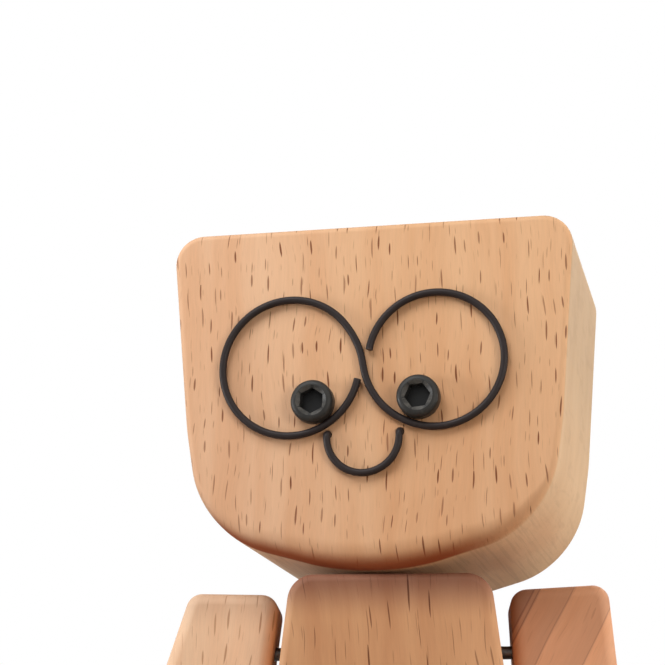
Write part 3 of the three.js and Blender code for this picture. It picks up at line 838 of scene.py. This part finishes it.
def makeNoseWire(n):
    y, depth = headShape["face"] - eyeShape["offFace"], headShape["face"] + n["inHead"]
    top = n["z"] + n["bend"]

    def end(side):  # bends off the face and runs into the head
        x = n["x"] + side * n["radius"]
        angles = [math.pi / 2 * i / n["bendSteps"] for i in range(n["bendSteps"] + 1)]
        turn = [(x, y + n["bend"] * (1 - math.cos(a)), n["z"] + n["bend"] * math.sin(a)) for a in angles]
        return turn + [(x, (y + depth) / 2, top), (x, depth, top)]

    angles = [math.pi * (1 + i / n["steps"]) for i in range(1, n["steps"])]
    under = [(n["x"] + n["radius"] * math.cos(a), y, n["z"] + n["radius"] * math.sin(a)) for a in angles]
    return bentWire("noseWire", end(-1)[::-1] + under + end(1), eyeShape["wire"], fineness=4)


def makeScrew(name, s, x, z, turn):
    back = headShape["face"] - s["offFace"]
    front = back - s["headHeight"]
    half = s["headDiameter"] / 2
    screw = addRound(name, half, (x, back, z), (x, front, z), sides=64)
    roundRim(screw, front, s["rim"], steps=8)
    roundRim(screw, back, s["backRim"], steps=2)
    pickEnd(screw, "y", 1)  # the shank grows from the back
    bpy.ops.mesh.inset(thickness=(half - s["backRim"] - s["shank"] / 2) * mm)
    for step, narrowing in ((s["length"] - s["tip"], 1), (s["tip"], 1 - 2 * s["tip"] / s["shank"])):
        pullOut(0, step, 0)
        resize((narrowing, 1, narrowing), (x, back, z))
    corner = s["socket"] / 2 / math.cos(math.radians(30))
    hexagon = addRound("hexBit", corner, (0, front - runIn, 0), (0, front + s["socketDepth"], 0), sides=6)
    turnTo(hexagon, "y", turn, (x, 0, z))
    carve(screw, hexagon)
    narrow = s["socket"] / 2 * s["leadEnd"]  # the lead-in ends just inside the hexagon's flats
    lead = s["mouth"] / 2 - narrow
    nothing()
    bpy.ops.mesh.primitive_cone_add(
        vertices=64, radius1=narrow * mm, radius2=(s["mouth"] / 2 + lead) * mm,
        depth=lead * 2 * s["leadSlope"] * mm, location=point(x, front, z), rotation=(math.radians(90), 0, 0))
    carve(screw, newPiece("leadBit"))
    return screw


def markSocket(screw, s, x, z):  # the socket's faces, from just below the lead-in to the bottom
    top = point(x, headShape["face"] - s["headHeight"] + s["recessFrom"], z)
    reach, depth = s["recessReach"] * s["socket"] * mm, s["socketDepth"] * mm

    def inSocket(place):
        away = place - top
        return 0 < away.y < depth and math.hypot(away.x, away.z) < reach

    markRecess(screw, inSocket)


head = makeHead(headShape)
drillHead(head)
turn = headShape["turn"]  # at rest the face looks a little to the viewer's left
complete(head, materials["head"], "head", "beech", "head_block", turn=turn)
for wire, node in ((makeEyeWire(eyeShape), "eye_wire"), (makeNoseWire(noseShape), "nose_wire")):
    complete(wire, materials["wire"], "head", "black_wire", node, angle=40, flat=30, bent=40, turn=turn)
for sideName, pupil in pupils.items():
    screw = makeScrew(sideName + "Pupil", screwShape, pupil["x"], pupil["z"], pupil["socketTurn"])
    markSocket(screw, screwShape, pupil["x"], pupil["z"])
    node = sideName + "_pupil_screw"
    complete(screw, materials["screw"], "head", "black_screw", node, angle=30, flat=8, bent=30, turn=turn)
print("head and face made")


# Torso and seat pad, with the nails and hips that the arms and legs share

torsoShape = {
    "bottom": 1, "top": 45.8, "front": -11, "back": 11, "shoulder": 23.8, "hips": 28, "lean": 7,
    "shoulderCorner": 3.2, "hipCorner": 30, "seatCorner": 2.5, "edge": 1,
    "pinHole": 4.2, "pinDepth": 12.3, "washerSink": 9.2, "sinkDepth": 0.9,
}
nailShape = {
    "height": 37.4, "hole": 1.8, "holeFrom": 5.631, "diameter": 1.6, "inTorso": 7, "point": 1.2,
    "pointShare": 0.08, "headDiameter": 4, "headThickness": 0.8, "headEdge": 0.25, "offSeat": 0.1,
}
hipShape = {"x": 8, "height": 11, "hole": 5.2, "holeDepth": 8.3}
padShape = {  # the swell is the share of the bulge at each share of the height
    "bulge": 0.22, "corner": 3, "faceInset": 0.6,
    "swell": {0.0: -0.3, 0.25: 0.7, 0.5: 1.0, 0.75: 0.7, 1.0: -0.3},
}


def makeTorso(t):
    hip, shoulder = t["hips"] / 2, t["shoulder"] / 2
    hipHeight = t["top"] - (hip - shoulder) / math.tan(math.radians(t["lean"]))
    torso = addBlock("torso", (-hip, t["front"], t["bottom"]), (hip, t["back"], t["top"]))
    cutAcross(torso, hipHeight)
    widen(torso, t["top"], shoulder / hip)
    joinFlats(torso)
    for side in (-1, 1):
        roundCorner(torso, side * hip, t["bottom"], t["seatCorner"], steps=8)
        roundCorner(torso, side * hip, hipHeight, t["hipCorner"], steps=8)
        roundCorner(torso, side * shoulder, t["top"], t["shoulderCorner"], steps=12)
    roundRim(torso, t["front"], t["edge"], steps=8)
    roundRim(torso, t["back"], t["edge"], steps=8)
    return torso


def drillTorso(torso, t):  # holes for the neck pin and its washer, the nails and the dowels
    above = (0, 0, t["top"] + runIn)
    drill(torso, (0, 0, t["top"] - t["pinDepth"]), above, t["pinHole"])
    drill(torso, (0, 0, t["top"] - t["sinkDepth"]), above, t["washerSink"], sides=64)
    nailHeight, outside = nailShape["height"], t["hips"] / 2 + runIn
    for side in (-1, 1):
        deep = (side * nailShape["holeFrom"], 0, nailHeight)
        drill(torso, deep, (side * outside, 0, nailHeight), nailShape["hole"], sides=32)
        x, z = side * hipShape["x"], hipShape["height"]
        deep = (x, t["front"] + hipShape["holeDepth"], z)
        drill(torso, (x, t["front"] - runIn, z), deep, hipShape["hole"])


def makePad(p):  # foam, squeezed out a little along its sides
    low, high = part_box("seat_pad")
    pad = addBlock("seatPad", low / mm, high / mm)
    pick(pad, "EDGE", lambda e: abs(e.verts[0].co.z - e.verts[1].co.z) > near)
    bevelPicked(p["corner"], steps=10)
    levels = {share: (low.z + (high.z - low.z) * share) / mm for share in p["swell"]}
    for share, level in levels.items():
        if 0 < share < 1:
            cutAcross(pad, level)
    for share, level in levels.items():
        pickLevel(pad, level)
        grow = p["bulge"] * mm * p["swell"][share]
        resize((1 + grow / high.x, 1 + grow / high.y, 1), (0, 0, level))
    pick(pad, "FACE", lambda f: abs(f.normal.z) > squareOn)
    bpy.ops.mesh.inset(thickness=p["faceInset"] * mm)
    nothing()
    return pad


torso = makeTorso(torsoShape)
drillTorso(torso, torsoShape)
complete(torso, materials["torso"], "torso", "beech", "torso_block")
pad = makePad(padShape)
smooth(pad, angle=50)
dress(pad, materials["pad"], "torso", "pad_foam", "seat_pad")
print("torso and pad made")


# Arms and the nails that they swing on

armShape = {
    "front": -5.5, "back": 5.5, "below": 25, "corner": 2, "hand": 5, "edge": 1.5, "nailSeat": 9.6,
    "sink": 4.8, "drillTo": 45,
}
armPlace = {
    "left": {
        "inner": 14.331, "gap": 1.4, "splay": 7.5, "flare": 10.4, "width": 10.9, "above": 6.8,
        "topSlope": 6.15,
    },
    "right": {
        "inner": 14.631, "gap": 1.7, "splay": 2.5, "flare": 2.3, "width": 11.9, "above": 7.1,
        "topSlope": -0.5,
    },
}


def makeArm(sideName, a, at):  # made about the nail, then turned and put in place
    side, width, above = sideOf[sideName], at["width"], at["above"]
    flare = (above + a["below"]) * math.tan(math.radians(at["flare"]))
    fall = -width * math.tan(math.radians(at["topSlope"]))
    inner, outer = sorted((0, side * width))
    arm = addBlock(sideName + "Arm", (inner, a["front"], -a["below"]), (outer, a["back"], above))
    far = side * width * mm
    moveCorners(arm, lambda co: abs(co.x - far) < near and co.z < 0, (side * flare, 0, 0))
    moveCorners(arm, lambda co: abs(co.x - far) < near and co.z > 0, (0, 0, fall))
    roundCorner(arm, 0, -a["below"], a["hand"], steps=12)
    roundCorner(arm, side * (width + flare), -a["below"], a["hand"], steps=12)
    roundCorner(arm, side * width, above + fall, a["corner"], steps=8)
    roundCorner(arm, 0, above, a["corner"], steps=8)
    roundRim(arm, a["front"], a["edge"], steps=7)
    roundRim(arm, a["back"], a["edge"], steps=7)
    height = nailShape["height"]
    turnTo(arm, "y", -side * at["splay"], (side * at["inner"], 0, height))
    outside = (side * a["drillTo"], 0, height)
    drill(arm, (side * (at["inner"] - runIn), 0, height), outside, nailShape["hole"], sides=32)
    drill(arm, (side * (at["inner"] + a["nailSeat"]), 0, height), outside, a["sink"])
    return arm


def makeNail(sideName, n, at):
    side, height = sideOf[sideName], n["height"]
    seat = side * (at["inner"] + armShape["nailSeat"] + n["offSeat"])
    tip = side * (at["inner"] - at["gap"] - n["inTorso"])
    shoulder = (tip + side * n["point"], 0, height)
    nail = addRound(sideName + "Nail", n["diameter"] / 2, shoulder, (seat, 0, height), sides=32)
    pickEnd(nail, "x", -side)  # drawn out to a point
    pullOut(-side * n["point"], 0, 0)
    resize((1, n["pointShare"], n["pointShare"]), (tip, 0, height))
    pickEnd(nail, "x", side)  # spread out to the head
    spread = n["headDiameter"] / n["diameter"]
    pullOut(0, 0, 0)
    resize((1, spread, spread), (seat, 0, height))
    pullOut(side * n["headThickness"], 0, 0)
    rim = n["headDiameter"] / 2 * mm

    def onRim(edge):
        ends = [v.co for v in edge.verts]
        out = all(abs(math.hypot(end.y, end.z - height * mm) - rim) < near for end in ends)
        return out and abs(ends[0].x - ends[1].x) < near

    pick(nail, "EDGE", onRim)
    bevelPicked(n["headEdge"], steps=4)
    nothing()
    return nail


for sideName, at in armPlace.items():
    arm, armName = makeArm(sideName, armShape, at), sideName + "_arm"
    complete(arm, materials[armName], armName, "beech", armName)
    nail, node = makeNail(sideName, nailShape, at), sideName + "_shoulder_nail"
    complete(nail, materials["nail"], "torso", "nail_steel", node, angle=40, flat=15, bent=40)
print("arms and nails made")


# Legs, springs and feet. They are made along -Y from the hip, then turned and put in place.

legShape = {
    "splay": 10, "width": 12, "length": 24, "corner": 3, "edge": 1.6, "mitreGap": 0.3, "pocket": 7,
    "pocketDepth": 3, "pocketRunIn": 3,
}
footShape = {
    "back": -31, "sole": -41, "heel": -7, "toe": 15.5, "heelWidth": 13.6, "toeWidth": 16.4, "heelCorner": 5.5,
    "toeCorner": 7, "edge": 2,
}
springShape = {"start": -33.7, "end": -21.3, "diameter": 6.4, "wire": 0.8, "curls": 7, "steps": 16}
hipY = torsoShape["front"]


def onLeg(side, x, y, z):  # from along the leg to its place on the figure
    turn = math.radians(side * legShape["splay"])
    return (side * hipShape["x"] + x * math.cos(turn) - y * math.sin(turn),
            hipY + x * math.sin(turn) + y * math.cos(turn), hipShape["height"] + z)


def swingOut(piece, side):
    turnTo(piece, "z", side * legShape["splay"], (side * hipShape["x"], hipY, hipShape["height"]))


def makeLeg(sideName, g):
    side, half = sideOf[sideName], g["width"] / 2
    leg = addBlock(sideName + "Leg", (-half, -g["length"], -half), (half, half, half))
    for x in (-half, half):
        for z in (-half, half):
            roundCorner(leg, x, z, g["corner"], steps=10)
    roundRim(leg, -g["length"], g["edge"], steps=7)
    swingOut(leg, side)
    pick(leg, "FACE", lambda f: True)  # the mitre against the torso
    bpy.ops.mesh.bisect(
        plane_co=point(0, hipY - g["mitreGap"], 0), plane_no=(0, 1, 0), use_fill=True, clear_outer=True)
    x, z = side * hipShape["x"], hipShape["height"]
    drill(leg, (x, hipY - hipShape["holeDepth"], z), (x, hipY + runIn, z), hipShape["hole"])
    mouth, floor = -g["length"] - g["pocketRunIn"], g["pocketDepth"] - g["length"]
    drill(leg, onLeg(side, 0, mouth, 0), onLeg(side, 0, floor, 0), g["pocket"])
    return leg


def makeFoot(sideName, f):
    side, heel, toe = sideOf[sideName], f["heelWidth"] / 2, f["toeWidth"] / 2
    foot = addBlock(sideName + "Foot", (-toe, f["sole"], f["heel"]), (toe, f["back"], f["toe"]))
    widen(foot, f["heel"], heel / toe)
    for edge in (-1, 1):
        roundCorner(foot, edge * heel, f["heel"], f["heelCorner"], steps=12)
        roundCorner(foot, edge * toe, f["toe"], f["toeCorner"], steps=14)
    roundRim(foot, f["sole"], f["edge"], steps=8)
    roundRim(foot, f["back"], f["edge"], steps=8)
    swingOut(foot, side)
    mouth, floor = f["back"] + legShape["pocketRunIn"], f["back"] - legShape["pocketDepth"]
    drill(foot, onLeg(side, 0, mouth, 0), onLeg(side, 0, floor, 0), legShape["pocket"])
    return foot


def makeSpring(sideName, s):
    side, radius = sideOf[sideName], (s["diameter"] - s["wire"]) / 2
    count = s["curls"] * s["steps"]
    first, last = s["start"] + s["wire"], s["end"] - s["wire"]
    points = [onLeg(side, radius, s["start"], 0)]
    for i in range(count + 1):
        angle = 2 * math.pi * i / s["steps"]
        along = first + (last - first) * i / count
        points.append(onLeg(side, radius * math.cos(angle), along, radius * math.sin(angle)))
    points.append(onLeg(side, radius, s["end"], 0))
    return bentWire(sideName + "Spring", points, s["wire"], fineness=2)


for sideName, side in sideOf.items():
    complete(makeLeg(sideName, legShape), materials["leg"], "torso", "beech", sideName + "_leg")
    foot, footName = makeFoot(sideName, footShape), sideName + "_foot"
    complete(foot, materials["foot"], footName, "beech", footName)
    spring, node = makeSpring(sideName, springShape), sideName + "_ankle_spring"
    complete(spring, materials["spring"], None, "bright_steel", node, angle=50, flat=30, bent=60)
    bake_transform(spring)
print("legs, springs and feet made")


# Frame pieces that stay as they are get their finish here
keptNodes = {
    "neck_pin": "spring", "neck_washer": "washer", "left_hip_dowel": "dowel", "right_hip_dowel": "dowel",
}
for node, finish in keptNodes.items():
    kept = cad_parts[node].data
    kept.materials.clear()
    kept.materials.append(materials[finish])


# Floor, light and camera

floorLook = {
    "size": 4000, "drop": 0.02, "tint": (242, 241, 239), "bounce": (120, 108, 98), "fade": (140, 420),
    "stretch": (0.02, 0.02, 0.02), "cloud": (0.2, 0.8, 0.985, 1.0), "roughness": 0.85, "specular": 0.15,
}
lightLook = {
    "sky": 0.05, "aim": (0, 0, 60), "lamps": {
        "key": {"place": (-170, -230, 370), "size": 260, "power": 1.22, "tint": (0.98, 1, 1.03)},
        "second": {"place": (170, -230, 370), "size": 260, "power": 0.28, "tint": (1, 0.94, 0.86)},
        "front": {"place": (240, -320, 75), "size": 140, "power": 0.45, "tint": (1, 0.94, 0.86)},
        "right": {"place": (360, 0, 70), "size": 140, "power": 0.62, "tint": (1, 0.97, 0.92)},
        "left": {"place": (-380, -60, 70), "size": 140, "power": 0.78, "tint": (0.98, 1, 1.03)},
        "rim": {"place": (120, 330, 300), "size": 260, "power": 0.65, "tint": (1, 1, 1)},
    },
}
cameraLook = {
    "place": (4.238, -268.57, 8.8), "yaw": -2.44, "pitch": 14.46, "roll": -0.16, "lens": 118.1, "sensor": 36,
    "nearest": 10,
}
white = (1, 1, 1, 1)


def seenStraight(tree):  # camera, glossy and see-through rays
    path = tree.nodes.new("ShaderNodeLightPath").outputs
    seen = maths(tree, "MAXIMUM", path["Is Camera Ray"], path["Is Glossy Ray"])
    return maths(tree, "MAXIMUM", seen, path["Is Transmission Ray"])


def makeFloor(look):
    nothing()
    bpy.ops.mesh.primitive_plane_add(size=look["size"] * mm, location=point(0, 0, -look["drop"]))
    floor = newPiece("floor")
    material, tree, shader = newMaterial("paleFloor")
    place = objectPlace(tree)
    straight = seenStraight(tree)
    cloud = ease(tree, noise(tree, place, look["stretch"])["Fac"], *look["cloud"])
    tint = scaled(tree, colour(*look["tint"])[:3], cloud)
    tint = mixed(tree, straight, colour(*look["bounce"]), tint)  # it throws less light back than it shows
    give(tree, shader, {
        "Base Color": tint, "Roughness": look["roughness"], "Specular IOR Level": look["specular"]})
    distance = put(tree, "ShaderNodeVectorMath", {0: place}, operation="LENGTH").outputs["Value"]
    amount = product(tree, ease(tree, distance, *look["fade"]), straight)
    glow = put(tree, "ShaderNodeEmission", {"Color": white, "Strength": 1.0})
    both = put(tree, "ShaderNodeMixShader", {0: amount, 1: shader.outputs[0], 2: glow.outputs[0]})
    give(tree, tree.nodes["Material Output"], {"Surface": both.outputs[0]})
    floor.data.materials.append(material)


def makeLights(look):
    world = bpy.data.worlds.new("studio")
    scene.world = world
    world.use_nodes = True
    tree = world.node_tree
    sky = tree.nodes["Background"]
    give(tree, sky, {"Color": white, "Strength": look["sky"]})
    glow = put(tree, "ShaderNodeBackground", {"Color": white, "Strength": 1.0})
    both = put(tree, "ShaderNodeMixShader", {0: seenStraight(tree), 1: sky.outputs[0], 2: glow.outputs[0]})
    give(tree, tree.nodes["World Output"], {"Surface": both.outputs[0]})
    for name, lamp in look["lamps"].items():
        nothing()
        bpy.ops.object.light_add(type="AREA", location=point(*lamp["place"]))
        light = bpy.context.object
        light.name = name + "Light"
        light.data.size = lamp["size"] * mm
        light.data.energy = lamp["power"]
        light.data.color = lamp["tint"]
        towards = point(*look["aim"]) - point(*lamp["place"])
        light.rotation_euler = towards.to_track_quat("-Z", "Y").to_euler()


def makeCamera(look):
    nothing()
    bpy.ops.object.camera_add(location=point(*look["place"]))
    camera = bpy.context.object
    camera.name = "photoCamera"
    yaw, pitch = math.radians(look["yaw"]), math.radians(look["pitch"])
    ahead = Vector((math.sin(yaw) * math.cos(pitch), math.cos(yaw) * math.cos(pitch), math.sin(pitch)))
    turn = ahead.to_track_quat("-Z", "Y") @ Quaternion((0, 0, 1), math.radians(look["roll"]))
    camera.rotation_euler = turn.to_euler()
    camera.data.lens = look["lens"]
    camera.data.sensor_width = look["sensor"]
    camera.data.clip_start = look["nearest"] * mm
    scene.camera = camera


makeFloor(floorLook)
makeLights(lightLook)
makeCamera(cameraLook)
scene.view_settings.view_transform = "Standard"
print("floor, lights and camera set")

nothing()
